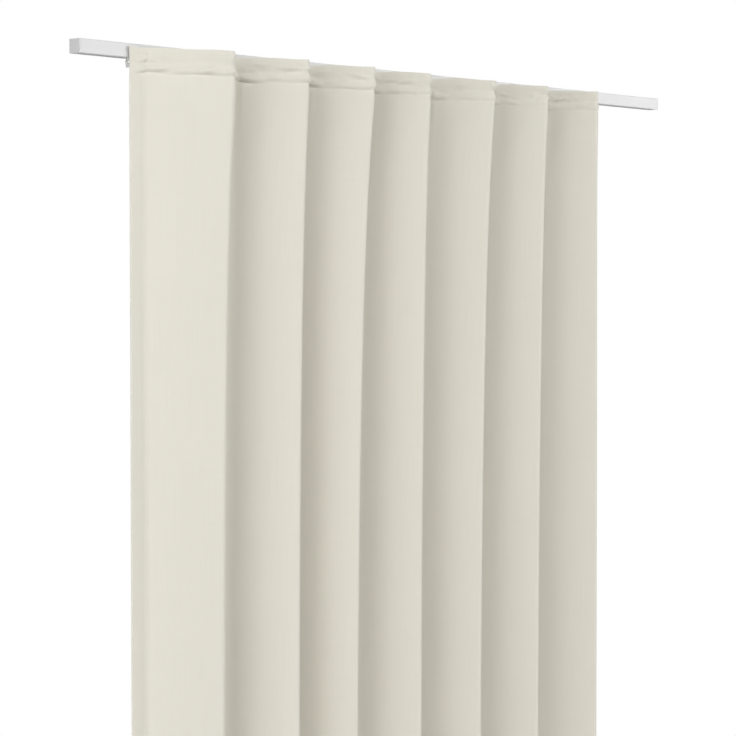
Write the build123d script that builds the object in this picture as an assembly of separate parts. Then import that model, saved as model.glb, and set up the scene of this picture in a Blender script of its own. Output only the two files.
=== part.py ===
from build123d import *
from math import exp, hypot
import os

# A light-tight curtain on a ceiling rail. Lengths are in millimetres. +X runs along the rail,
# +Y points to the wall behind the curtain and +Z is up. The origin is the middle of the rail's
# top face, where the rail meets the ceiling.

# Rail: an extruded channel with a slot along its underside and a ledge along each inner wall
rail_length = 1300.0
rail_width = 19.0
rail_height = 18.0
rail_wall = 1.4
rail_web = 2.0
rail_edge_radius = 0.8
ledge_drop = 6.4
ledge_reach = 2.2
ledge_thickness = 1.4
lip_thickness = 1.5
slot_width = 7.0
screw_hole_diameter = 4.2
screw_head_diameter = 6.8
screw_countersink = 1.3
screw_span_outer = 1040.0
screw_span_inner = 290.0

# End caps: a plate over the rail's end with a hollow plug that the gliders stop against
cap_plate = 2.0
cap_edge_chamfer = 0.5
cap_plug_length = 10.0
cap_plug_wall = 1.3
cap_clearance = 0.2

# Gliders: one-piece mouldings that ride on the rail's lips
glider_length = 11.0
glider_head_height = 3.6
glider_corner = 2.4
glider_edge = 0.7
glider_side_clearance = 0.6
glider_lift = 0.2
crown_width = 8.0
crown_length = 7.0
crown_height = 3.0
crown_corner = 1.8
neck_length = 7.6
neck_side_clearance = 0.7
neck_corner = 1.2
eye_gap = 1.2
eye_width = 10.6
eye_height = 8.6
eye_thickness = 2.6
eye_rim = 1.9
eye_corner = 2.0

# Hooks: a bent strip from the glider's eye to the tape's pocket
hook_width = 5.0
hook_thickness = 1.6
hook_clearance = 0.4
hook_seat_gap = 0.9
hook_tail = 3.4
hook_knee_drop = 2.2
hook_knee_height = 3.6
hook_corner_share = 0.6

# Heading tape: sewn flat on the cloth's back, with a pocket at each hook
tape_height = 28.0
tape_thickness = 0.8
tape_drop = 5.0
pocket_drop = 15.0
pocket_height = 9.0
pocket_strip = 0.5
pocket_side = 0.9
pocket_clearance = 0.3
pocket_root_share = 0.5

# Cloth: one hemmed sheet in soft folds, hooked at every fold that goes back to the rail
cloth_drop = 2400.0
cloth_thickness = 1.2
cloth_top_drop = 5.0
cloth_inset = 82.0
rail_gap = 1.2
side_hem = 20.0
bottom_hem = 80.0
hem_thickness = 1.2
hook_spacing = 138.0
hook_spacing_shares = (1.263, 1.022, 0.954, 0.997, 1.025, 0.971, 0.935)
crest_place_shares = (0.608, 0.545, 0.554, 0.474, 0.558, 0.535, 0.553)
trough_radius = 18.0
crest_radius = 5.5
heading_fold_depth = 57.0
body_fold_depth = 62.0

# Below the heading, which gathers the cloth a little, the folds deepen, drift to one side and
# then hang straight
settle_length = 350.0
fold_lean = 34.0
crest_lean_shares = (0.83, 0.78, 1.28, 0.78, 1.11, 0.80, 0.10)
trough_lean_share = 0.8
body_level_shares = (0.1, 0.35, 1.0)

# Heading: rows of stitching hold the cloth flat, and it puffs out between them
heading_height = 33.0
puff_rise = 1.5
heading_rows = (
    # share of the heading's height, share of the puff's rise
    (0.0, 0.4),
    (0.27, 1.0),
    (0.54, 0.0),
    (0.77, 1.0),
    (1.0, 0.0),
)

overrun = 1.0

# Places worked out from the sizes above
rail_front = -rail_width / 2
chamber_width = rail_width - 2 * rail_wall
lip_top = lip_thickness - rail_height
ledge_under = -ledge_drop - ledge_thickness
head_under = lip_top + glider_lift
eye_top = -rail_height - eye_gap
eye_seat = eye_top - eye_height + eye_rim
tape_back = rail_front - rail_gap
cloth_back = tape_back - tape_thickness
cloth_top = -cloth_top_drop
tape_top = cloth_top - tape_drop
pocket_top = tape_top - pocket_drop
pocket_bottom = pocket_top - pocket_height
pocket_rear = tape_back + hook_thickness + 2 * pocket_clearance
heading_bottom = cloth_top - heading_height
cloth_bottom = cloth_top - cloth_drop
hem_top = cloth_bottom + bottom_hem
cloth_left = cloth_inset - rail_length / 2
trough_places = [cloth_left + side_hem]
for spacing_share in hook_spacing_shares:
    trough_places.append(trough_places[-1] + spacing_share * hook_spacing)
cloth_right = trough_places[-1] + side_hem
hook_places = [cloth_left + side_hem / 2, *trough_places[1:-1], cloth_right - side_hem / 2]


def block(x_from, x_to, y_from, y_to, z_from, z_to):
    """A box between two corners."""
    middle = Pos((x_from + x_to) / 2, (y_from + y_to) / 2, (z_from + z_to) / 2)
    return middle * Box(x_to - x_from, y_to - y_from, z_to - z_from)


def channel_area(width, low, high):
    """A rectangle across the rail, centred on it, between two heights."""
    return Pos(0, (low + high) / 2) * Rectangle(width, high - low)


def rail_outline():
    """The rail's outside in section."""
    return Pos(0, -rail_height / 2) * RectangleRounded(rail_width, rail_height, rail_edge_radius)


def make_rail():
    """The channel, drilled for its four ceiling screws."""
    profile = rail_outline() - channel_area(chamber_width, lip_top, -rail_web)
    profile -= channel_area(slot_width, -rail_height - overrun, lip_top + overrun)
    for side in (-1, 1):
        ledge_middle = Pos(side * (chamber_width - ledge_reach) / 2, -ledge_drop - ledge_thickness / 2)
        profile += ledge_middle * Rectangle(ledge_reach, ledge_thickness)
    rail = extrude(Plane.YZ * profile, rail_length / 2, both=True)
    hole = Cylinder(screw_hole_diameter / 2, 2 * rail_web + 2 * overrun)
    sink_middle = Pos(0, 0, screw_countersink / 2 - rail_web)
    sink = sink_middle * Cone(screw_head_diameter / 2, screw_hole_diameter / 2, screw_countersink)
    for span in (screw_span_outer, screw_span_inner):
        for side in (-1, 1):
            rail -= Pos(side * span / 2, 0, 0) * (hole + sink)
    return rail


def make_end_cap(side):
    """A cap for one end of the rail; side is -1 on the left and 1 on the right."""
    end = side * rail_length / 2
    plate = extrude(Plane.YZ * rail_outline(), side * cap_plate)
    plate = chamfer(plate.faces().sort_by(Axis.X)[0 if side < 0 else -1].edges(), cap_edge_chamfer)
    low = lip_top + cap_clearance
    high = ledge_under - cap_clearance
    width = chamber_width - 2 * cap_clearance
    plug = channel_area(width, low, high)
    plug -= channel_area(width - 2 * cap_plug_wall, low + cap_plug_wall, high - cap_plug_wall)
    return Pos(end, 0, 0) * (plate + extrude(Plane.YZ * plug, -side * cap_plug_length))


def moulded_block(length, width, height, corner):
    """A block that stands on the ground plane with its upright corners cut off."""
    outline = Rectangle(length, width)
    return extrude(chamfer(outline.vertices(), corner), height)


def make_glider(place):
    """A glider: a head on the lips, a neck through the slot and an eye below the rail."""
    head_width = chamber_width - 2 * glider_side_clearance
    head = moulded_block(glider_length, head_width, glider_head_height, glider_corner)
    head = chamfer(head.faces().sort_by(Axis.Z)[-1].edges(), glider_edge)
    crown = moulded_block(crown_length, crown_width, glider_head_height + crown_height, crown_corner)
    crown = chamfer(crown.faces().sort_by(Axis.Z)[-1].edges(), glider_edge)
    neck_width = slot_width - 2 * neck_side_clearance
    neck_height = head_under - eye_top + eye_rim / 2
    neck = Pos(0, 0, -neck_height) * moulded_block(neck_length, neck_width, neck_height, neck_corner)
    eye = chamfer(Rectangle(eye_width, eye_height).vertices(), eye_corner)
    eye -= Rectangle(eye_width - 2 * eye_rim, eye_height - 2 * eye_rim)
    eye_plane = Plane((0, 0, eye_top - eye_height / 2), x_dir=(1, 0, 0), z_dir=(0, -1, 0))
    eye = extrude(eye_plane * eye, eye_thickness / 2, both=True)
    return Pos(place, 0, 0) * (Pos(0, 0, head_under) * (head + crown + neck) + eye)


def make_hook(place):
    """A hook: a crook over the eye's lower rim, a cranked shank and a prong up into the pocket."""
    crook_half = eye_thickness / 2 + hook_clearance + hook_thickness / 2
    crook_top = eye_seat + hook_seat_gap + hook_thickness / 2
    knee_top = eye_seat - hook_knee_drop
    prong = tape_back + pocket_clearance + hook_thickness / 2
    shank = pocket_rear + pocket_strip + pocket_clearance + hook_thickness / 2
    bend_low = pocket_bottom - pocket_clearance - hook_thickness
    crook_corner = hook_corner_share * crook_half
    bend_corner = hook_corner_share * (shank - prong) / 2
    path = Polyline(
        (place, crook_half, eye_seat - hook_tail),
        (place, crook_half, crook_top - crook_corner),
        (place, crook_half - crook_corner, crook_top),
        (place, crook_corner - crook_half, crook_top),
        (place, -crook_half, crook_top - crook_corner),
        (place, -crook_half, knee_top),
        (place, shank, knee_top - hook_knee_height),
        (place, shank, bend_low + bend_corner),
        (place, shank - bend_corner, bend_low),
        (place, prong + bend_corner, bend_low),
        (place, prong, bend_low + bend_corner),
        (place, prong, pocket_top),
    )
    start = Plane(path @ 0, x_dir=(1, 0, 0), z_dir=path % 0)
    return sweep(start * Rectangle(hook_width, hook_thickness), path, transition=Transition.RIGHT)


def fold_turns(height):
    """Centre and side of each turn of the cloth; side is 1 at the rail and -1 at the front."""
    settled_share = 1 - exp(min(height - heading_bottom, 0) / settle_length)
    lean = settled_share * fold_lean
    depth = heading_fold_depth + settled_share * (body_fold_depth - heading_fold_depth)
    last = len(crest_place_shares)
    turns = []
    for index, trough in enumerate(trough_places):
        trough_lean = 0
        if 0 < index < last:
            neighbours = crest_lean_shares[index - 1] + crest_lean_shares[index]
            trough_lean = trough_lean_share * lean * neighbours / 2
        turns.append((Vector(trough - trough_lean, cloth_back - trough_radius), 1))
        if index < last:
            crest = trough + crest_place_shares[index] * (trough_places[index + 1] - trough)
            crest -= crest_lean_shares[index] * lean
            turns.append((Vector(crest, cloth_back - depth + crest_radius), -1))
    return turns


def straight_direction(here, after, side):
    """The unit vector from one turn's centre to where the cloth leaves it for the next turn."""
    along = after - here
    distance = hypot(along.X, along.Y)
    across = Vector(-along.Y, along.X) * side
    near_share = (trough_radius + crest_radius) / distance
    return (along * near_share + across * (1 - near_share ** 2) ** 0.5) / distance


def fold_line(height, offset):
    """Edges, left to right, of the cloth's back face moved back by an offset, at one height."""
    turns = fold_turns(height)
    level = Vector(0, 0, height)
    at_rail = Vector(0, 1)
    edges = []
    arrive = at_rail
    point = Vector(cloth_left, cloth_back + offset) + level
    for index, (centre, side) in enumerate(turns):
        radius = (trough_radius if side > 0 else crest_radius) + side * offset
        leave = at_rail
        if index + 1 < len(turns):
            leave = straight_direction(centre, turns[index + 1][0], side)
        begin, middle, end = [
            centre + direction * radius + level
            for direction in (arrive, (arrive + leave).normalized(), leave)
        ]
        edges.append(Line(point, begin))
        edges.append(ThreePointArc(begin, middle, end))
        point = end
        arrive = leave * -1
    edges.append(Line(point, Vector(cloth_right, cloth_back + offset) + level))
    return edges


def fold_section(height, front, back):
    """The face between two offsets from the cloth's back face, at one height."""
    front_edges = fold_line(height, front)
    back_edges = fold_line(height, back)
    left_edge = Line(front_edges[0] @ 0, back_edges[0] @ 0)
    right_edge = Line(front_edges[-1] @ 1, back_edges[-1] @ 1)
    return Face(Wire([*front_edges, right_edge, *back_edges, left_edge]))


def make_heading_tape():
    """The tape along the whole top of the cloth, with the hooks' pockets."""
    tape = extrude(fold_section(tape_top, 0, tape_thickness), tape_height, dir=(0, 0, -1))
    pocket_half = hook_width / 2 + pocket_clearance
    root = tape_back - pocket_root_share * tape_thickness
    for place in hook_places:
        outside = block(place - pocket_half - pocket_side, place + pocket_half + pocket_side,
                        root, pocket_rear + pocket_strip, pocket_bottom, pocket_top)
        tunnel = block(place - pocket_half, place + pocket_half, tape_back, pocket_rear,
                       pocket_bottom - overrun, pocket_top + overrun)
        tape += outside - tunnel
    return tape


def make_curtain():
    """The cloth: a stitched heading, the folds below it, side hems and the bottom hem."""
    sections = []
    for height_share, puff_share in heading_rows:
        front = -cloth_thickness - puff_share * puff_rise
        sections.append(fold_section(cloth_top - height_share * heading_height, front, 0))
    for level_share in body_level_shares:
        height = heading_bottom + level_share * (hem_top - heading_bottom)
        sections.append(fold_section(height, -cloth_thickness, 0))
    hem = [fold_section(height, -cloth_thickness, hem_thickness) for height in (hem_top, cloth_bottom)]
    curtain = loft(sections, ruled=True) + loft(hem, ruled=True)
    for edge in (cloth_left, cloth_right - side_hem):
        curtain += block(edge, edge + side_hem, cloth_back, cloth_back + hem_thickness,
                         hem_top, heading_bottom)
    return curtain


os.makedirs("parts", exist_ok=True)
parts = {
    "rail": make_rail(),
    "end_cap_left": make_end_cap(-1),
    "end_cap_right": make_end_cap(1),
    "curtain": make_curtain(),
    "heading_tape": make_heading_tape(),
}
for number, place in enumerate(hook_places, start=1):
    parts[f"glider_{number}"] = make_glider(place)
    parts[f"hook_{number}"] = make_hook(place)
for name, shape in parts.items():
    export_step(shape, f"parts/{name}.step")

flat_width = sum(edge.length for edge in fold_line(cloth_top, 0))
flat_width_low = sum(edge.length for edge in fold_line(cloth_bottom, 0))
print(f"cloth's flat width {flat_width:.0f} at the heading, {flat_width_low:.0f} at the hem")
print("hooks at", [round(place, 1) for place in hook_places])
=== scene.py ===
"""Looks of a blackout curtain that hangs from a slim rail: cloth, tape, thread, rail and fittings."""

import logging
import math
from collections.abc import Callable, Iterable
from dataclasses import dataclass, replace
from enum import Enum, IntEnum

import bpy
import numpy as np
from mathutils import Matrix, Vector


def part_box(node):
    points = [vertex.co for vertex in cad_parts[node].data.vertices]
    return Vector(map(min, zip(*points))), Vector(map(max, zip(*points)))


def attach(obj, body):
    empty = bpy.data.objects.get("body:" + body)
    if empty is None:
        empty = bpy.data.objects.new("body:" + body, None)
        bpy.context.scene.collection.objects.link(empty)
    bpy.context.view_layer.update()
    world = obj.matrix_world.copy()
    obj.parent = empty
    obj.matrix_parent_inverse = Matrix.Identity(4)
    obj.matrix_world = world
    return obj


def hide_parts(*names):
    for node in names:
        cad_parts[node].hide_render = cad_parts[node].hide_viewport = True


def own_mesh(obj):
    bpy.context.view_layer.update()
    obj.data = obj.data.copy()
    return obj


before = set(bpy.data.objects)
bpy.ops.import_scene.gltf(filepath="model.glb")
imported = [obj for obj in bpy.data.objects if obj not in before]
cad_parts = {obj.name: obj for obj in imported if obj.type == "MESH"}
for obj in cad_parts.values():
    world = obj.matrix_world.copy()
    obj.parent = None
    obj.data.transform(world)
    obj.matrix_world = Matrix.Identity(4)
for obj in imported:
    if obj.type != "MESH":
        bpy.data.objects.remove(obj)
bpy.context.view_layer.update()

MM = 0.001
FULL_TURN = 2 * math.pi
QUARTER_TURN = math.pi / 2
SMOOTH_ANGLE = math.radians(50)
CURTAIN_BODY = "curtain"
log = logging.getLogger("curtain")

Pair = tuple[float, float]
Triple = tuple[float, float, float]
Shade = tuple[float, float, float, float]
Lengths = np.ndarray | float
Socket = bpy.types.NodeSocket
Inputs = dict[int | str, object]


class Slot(Enum):
    """Names of the record's material slots for the cloth and the tape."""

    CLOTH = "curtain_cloth"
    TAPE = "tape_woven"


class Coordinates(Enum):
    """What a finish's pattern is laid out on: the flat sheet, or the piece as it stands."""

    FLAT = "UV"
    STANDING = "Object"


class Turn(IntEnum):
    """Which way the cloth's line turns: at a hook, not at all, or at a fold's front."""

    AT_RAIL = 1
    STRAIGHT = 0
    AT_FRONT = -1


class NodeSheet:
    """A node tree, with short calls for adding and joining nodes.

    A Mix node has sockets of the same names for numbers, vectors and colours, so those for colours are
    known by their number.
    """

    mix_colours = (6, 7)
    mix_result = 2

    def __init__(self, owner: bpy.types.Material | bpy.types.World) -> None:
        """Take over the node tree of a new material or world."""
        owner.use_nodes = True
        self.tree = owner.node_tree

    def feed(self, node: bpy.types.Node, inputs: Inputs) -> None:
        """Join a node's inputs to other nodes' outputs, or set their values.

        Args:
            node: the node that takes the values.
            inputs: output sockets, numbers or tuples, by the input's name or number.
        """
        for key, value in inputs.items():
            if isinstance(value, Socket):
                self.tree.links.new(value, node.inputs[key])
            else:
                node.inputs[key].default_value = value

    def add(self, kind: str, inputs: Inputs | None = None, **settings: str) -> bpy.types.Node:
        """Add a node.

        Args:
            kind: the node's type name, without the ShaderNode prefix.
            inputs: what its inputs take.
            settings: its properties' values by name.

        Returns:
            The new node.
        """
        node = self.tree.nodes.new("ShaderNode" + kind)
        for key, value in settings.items():
            setattr(node, key, value)
        self.feed(node, inputs or {})
        return node

    def math(self, operation: str, *values: Socket | float) -> Socket:
        """A Math node's result on some sockets or numbers."""
        return self.add("Math", dict(enumerate(values)), operation=operation).outputs[0]

    def blend(self, parts: Iterable[tuple[Socket, float]]) -> Socket:
        """Add up some sockets.

        Args:
            parts: each socket with its share.

        Returns:
            The sum's socket.
        """
        total = 0.0
        for socket, share in parts:
            total = self.math("MULTIPLY_ADD", socket, share, total)
        return total

    def tone(self, share: Socket, dark: Shade, light: Shade) -> Socket:
        """The colour that lies a share of the way from a dark one to a light one."""
        inputs = {0: share, **dict(zip(self.mix_colours, (dark, light)))}
        return self.add("Mix", inputs, data_type="RGBA").outputs[self.mix_result]

    def place(self, coordinates: Coordinates) -> Socket:
        """The coordinates that a pattern is laid out on, in metres."""
        return self.add("TexCoord").outputs[coordinates.value]

    def wave(self, place: Socket, pitch: float) -> Socket:
        """A sine wave along a place, between -1 and 1."""
        return self.math("SINE", self.math("MULTIPLY", place, FULL_TURN / pitch))

    def raised(self, wave: Socket) -> Socket:
        """A wave between -1 and 1, brought between 0 and 1."""
        return self.math("MULTIPLY_ADD", wave, 0.5, 0.5)


@dataclass(frozen=True)
class Grain:
    """Noise that a finish is made of.

    Args:
        stretch: its cycles per metre along each coordinate.
        detail: its octaves.
    """

    stretch: Triple
    detail: float

    def on(self, sheet: NodeSheet, place: Socket) -> Socket:
        """Add the noise to a node tree.

        Args:
            sheet: the node tree.
            place: the coordinates, in metres.

        Returns:
            The noise's socket.
        """
        mapping = sheet.add("Mapping", {"Vector": place, "Scale": self.stretch})
        noise = {"Vector": mapping.outputs[0], "Scale": 1.0, "Detail": self.detail}
        return sheet.add("TexNoise", noise).outputs[0]


@dataclass(frozen=True, kw_only=True)
class Finish:
    """What all finishes share: a colour, a roughness and a relief that follow patterns.

    Args:
        name: the material's name.
        colour: the colour that the pattern varies.
        dark_share: the colour's share where the shade pattern is 0.
        light_share: the colour's share where it is 1.
        roughness: the roughness where the wear pattern is 0.
        rough_spread: how much rougher the surface is where it is 1.
        bump_share: how much of the relief shows.
        depth: the relief's height, in metres.
        specular: the shader's specular level.
        sheen: weight of the fuzz on the surface.
        sheen_roughness: how far the fuzz spreads the light.
    """

    name: str
    colour: Triple
    dark_share: float
    light_share: float
    roughness: float
    rough_spread: float = 0.0
    bump_share: float
    depth: float
    specular: float = 0.5
    sheen: float = 0.0
    sheen_roughness: float = 0.5

    def shaded(self, share: float) -> Shade:
        """The finish's colour times a share."""
        return (*(share * part for part in self.colour), 1.0)

    def patterns(self, sheet: NodeSheet) -> tuple[Socket, Socket, Socket]:
        """The patterns of shade, wear and relief, each from 0 to 1."""
        raise NotImplementedError(self.name)

    def material(self) -> bpy.types.Material:
        """Make the material.

        Returns:
            The material, with its patterns joined to one Principled shader.
        """
        made = bpy.data.materials.new(self.name)
        sheet = NodeSheet(made)
        shade, wear, relief = self.patterns(sheet)
        bump = sheet.add("Bump", {"Strength": self.bump_share, "Distance": self.depth, "Height": relief})
        rough = self.roughness
        if self.rough_spread:
            rough = sheet.math("MULTIPLY_ADD", wear, self.rough_spread, self.roughness)
        sheet.feed(sheet.tree.nodes["Principled BSDF"], {
            "Base Color": sheet.tone(shade, self.shaded(self.dark_share), self.shaded(self.light_share)),
            "Roughness": rough,
            "Specular IOR Level": self.specular,
            "Sheen Weight": self.sheen,
            "Sheen Roughness": self.sheen_roughness,
            "Normal": bump.outputs[0],
        })
        return made


@dataclass(frozen=True, kw_only=True)
class WovenFinish(Finish):
    """A plain weave of uneven threads, drawn on the cloth's own flat coordinates.

    Args:
        thread_pitch: distance between threads, in metres.
        warp: unevenness of the threads that run down.
        weft: unevenness of the threads that run across.
        cloud: broad unevenness of the colour.
        shade_shares: shares of warp, weft, cloud and weave in the colour.
        relief_shares: shares of warp and weave in the relief.
    """

    thread_pitch: float
    roughness: float = 0.78
    rough_spread: float = 0.12
    bump_share: float = 0.5
    specular: float = 0.25
    sheen_roughness: float = 0.55
    warp: Grain = Grain((700.0, 9.0, 1.0), 3.0)
    weft: Grain = Grain((14.0, 800.0, 1.0), 3.0)
    cloud: Grain = Grain((5.0, 3.0, 1.0), 2.0)
    shade_shares: tuple[float, ...] = (0.40, 0.24, 0.16, 0.20)
    relief_shares: tuple[float, ...] = (0.4, 0.6)

    def patterns(self, sheet: NodeSheet) -> tuple[Socket, Socket, Socket]:
        """Cross the threads' waves and add their unevenness.

        Args:
            sheet: the material's node tree.

        Returns:
            The patterns of shade, wear and relief.
        """
        flat = sheet.place(Coordinates.FLAT)
        parts = sheet.add("SeparateXYZ", {0: flat}).outputs
        threads = (sheet.wave(part, self.thread_pitch) for part in parts[:2])
        weave = sheet.raised(sheet.math("MULTIPLY", *threads))
        warp, weft, cloud = (grain.on(sheet, flat) for grain in (self.warp, self.weft, self.cloud))
        shade = sheet.blend(zip((warp, weft, cloud, weave), self.shade_shares))
        return shade, warp, sheet.blend(zip((warp, weave), self.relief_shares))


@dataclass(frozen=True, kw_only=True)
class CoatedFinish(Finish):
    """A smooth light-tight coating, drawn on the cloth's own flat coordinates.

    Args:
        grain: the coating's fine grain.
        cloud: broad unevenness of its colour.
        shade_shares: shares of grain and cloud in the colour.
    """

    grain: Grain = Grain((900.0, 900.0, 1.0), 4.0)
    cloud: Grain = Grain((8.0, 5.0, 1.0), 2.0)
    shade_shares: Pair = (0.4, 0.6)

    def patterns(self, sheet: NodeSheet) -> tuple[Socket, Socket, Socket]:
        """Lay the grain over the clouds.

        Args:
            sheet: the material's node tree.

        Returns:
            The patterns of shade, wear and relief.
        """
        flat = sheet.place(Coordinates.FLAT)
        grain, cloud = self.grain.on(sheet, flat), self.cloud.on(sheet, flat)
        return sheet.blend(zip((grain, cloud), self.shade_shares)), grain, grain


@dataclass(frozen=True, kw_only=True)
class MouldedFinish(Finish):
    """Paint or moulded plastic with a faint grain.

    Args:
        grain_per_metre: how fine the grain is.
        grain_detail: the grain's octaves.
        film: broad unevenness of the colour and the gloss.
        shade_shares: shares of grain and film in the colour.
    """

    grain_per_metre: float
    dark_share: float = 0.97
    light_share: float = 1.03
    rough_spread: float = 0.14
    bump_share: float = 0.3
    grain_detail: float = 3.0
    film: Grain = Grain((20.0, 60.0, 60.0), 2.0)
    shade_shares: Pair = (0.5, 0.5)

    def patterns(self, sheet: NodeSheet) -> tuple[Socket, Socket, Socket]:
        """Lay the grain over the film.

        Args:
            sheet: the material's node tree.

        Returns:
            The patterns of shade, wear and relief.
        """
        place = sheet.place(Coordinates.STANDING)
        grain = Grain((self.grain_per_metre,) * 3, self.grain_detail).on(sheet, place)
        film = self.film.on(sheet, place)
        return sheet.blend(zip((grain, film), self.shade_shares)), film, grain


@dataclass(frozen=True, kw_only=True)
class ThreadFinish(Finish):
    """Twisted sewing thread.

    Args:
        twist_pitch: length of one twist, in metres.
    """

    twist_pitch: float

    def patterns(self, sheet: NodeSheet) -> tuple[Socket, Socket, Socket]:
        """Twist the plies along the thread, which runs across or down.

        Args:
            sheet: the material's node tree.

        Returns:
            The patterns of shade, wear and relief.
        """
        parts = sheet.add("SeparateXYZ", {0: sheet.place(Coordinates.STANDING)}).outputs
        along = sheet.math("ADD", parts["X"], parts["Z"])
        ply = sheet.raised(sheet.wave(along, self.twist_pitch))
        return ply, ply, ply


CLOTH_FACE = WovenFinish(name="ecru_weave", colour=(0.750, 0.722, 0.640), dark_share=0.93, light_share=1.07,
                         thread_pitch=0.55 * MM, depth=0.22 * MM, sheen=0.12)
CLOTH_BACK = CoatedFinish(name="back_coating", colour=(0.76, 0.745, 0.69), dark_share=0.96, light_share=1.04,
                          roughness=0.62, rough_spread=0.15, bump_share=0.4, depth=0.05 * MM, specular=0.3)
TAPE_WEAVE = WovenFinish(name="tape_weave", colour=(0.80, 0.79, 0.75), dark_share=0.97, light_share=1.03,
                         thread_pitch=0.8 * MM, depth=0.2 * MM, sheen=0.1)
# The rail's white paint is set to a mid grey: painted shade, standing for the shade of a ceiling over the
# rail.
RAIL_PAINT_WITH_PAINTED_SHADE = MouldedFinish(name="rail_paint_painted_shade", colour=(0.63, 0.63, 0.63), roughness=0.31,
                           grain_per_metre=1600.0, depth=0.02 * MM)
# The end caps' white plastic is set to the rail's grey: painted shade, as on the rail.
CAP_PLASTIC_WITH_PAINTED_SHADE = MouldedFinish(name="cap_plastic_painted_shade", colour=(0.62, 0.62, 0.62), roughness=0.41,
                            grain_per_metre=2400.0, depth=0.03 * MM)
GLIDER_NYLON = MouldedFinish(name="glider_nylon", colour=(0.80, 0.80, 0.78), roughness=0.35,
                             grain_per_metre=1200.0, depth=0.02 * MM)
HOOK_NYLON = replace(GLIDER_NYLON, name="hook_nylon", colour=(0.78, 0.78, 0.76), roughness=0.38)
FLOOR_PAINT = MouldedFinish(name="pale_floor", colour=(0.82, 0.82, 0.81), roughness=0.73,
                            grain_per_metre=40.0, depth=0.1 * MM)
SEAM_THREAD = ThreadFinish(name="seam_thread", colour=(0.72, 0.69, 0.60), dark_share=0.9, light_share=1.05,
                           roughness=0.6, bump_share=0.4, depth=0.05 * MM, twist_pitch=0.7 * MM)


@dataclass(frozen=True)
class Wander:
    """A smooth uneven wave made of a few seeded sine waves.

    Args:
        length: how long its waves are, about.
        seed: where its random draws start.
        rise: how high it goes, about: a length, or a share of what it changes.
        waves: how many sine waves it is made of.
        length_shares: the shortest and longest of them, as shares of the length.
    """

    length: float
    seed: int
    rise: float = 1.0
    waves: int = 5
    length_shares: Pair = (0.6, 1.7)

    def at(self, place: np.ndarray) -> np.ndarray:
        """The wave's height.

        Args:
            place: distances along the wave, in metres.

        Returns:
            One height for each place.
        """
        chance = np.random.RandomState(self.seed)
        total = np.zeros_like(place, dtype=float)
        for _ in range(self.waves):
            length = self.length * chance.uniform(*self.length_shares)
            total += np.sin(FULL_TURN * (place / length + chance.uniform()))
        return self.rise * total / math.sqrt(2 * self.waves)


def smooth_step(value: np.ndarray, start: float, end: float) -> np.ndarray:
    """A soft ramp from 0 at start to 1 at end."""
    share = np.clip((value - start) / (end - start), 0, 1)
    return share * share * (3 - 2 * share)


@dataclass(frozen=True)
class Run:
    """One straight stretch or one turn of the cloth's line.

    Args:
        length: how long it is.
        start: its first point, or a turn's centre.
        end: its last point; a turn has none.
        turn: which way it turns.
        radius: a turn's radius.
        angle: the angle at which a turn begins.
        sweep: the angle that it turns through.
    """

    length: float
    start: np.ndarray
    end: np.ndarray | None = None
    turn: Turn = Turn.STRAIGHT
    radius: float = 0.0
    angle: float = 0.0
    sweep: float = 0.0

    def at(self, shares: np.ndarray) -> tuple[np.ndarray, np.ndarray]:
        """Points and normals along the run.

        Args:
            shares: places along it, from 0 to 1.

        Returns:
            The points, and their unit normals out of the cloth's back.
        """
        if self.turn is Turn.STRAIGHT:
            step = self.end - self.start
            normal = np.array((-step[1], step[0])) / np.hypot(*step)
            return self.start + shares[:, None] * step, np.tile(normal, (len(shares), 1))
        angles = self.angle + shares * self.sweep
        out = np.stack((np.cos(angles), np.sin(angles)), axis=1)
        return self.start + self.radius * out, self.turn * out


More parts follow.
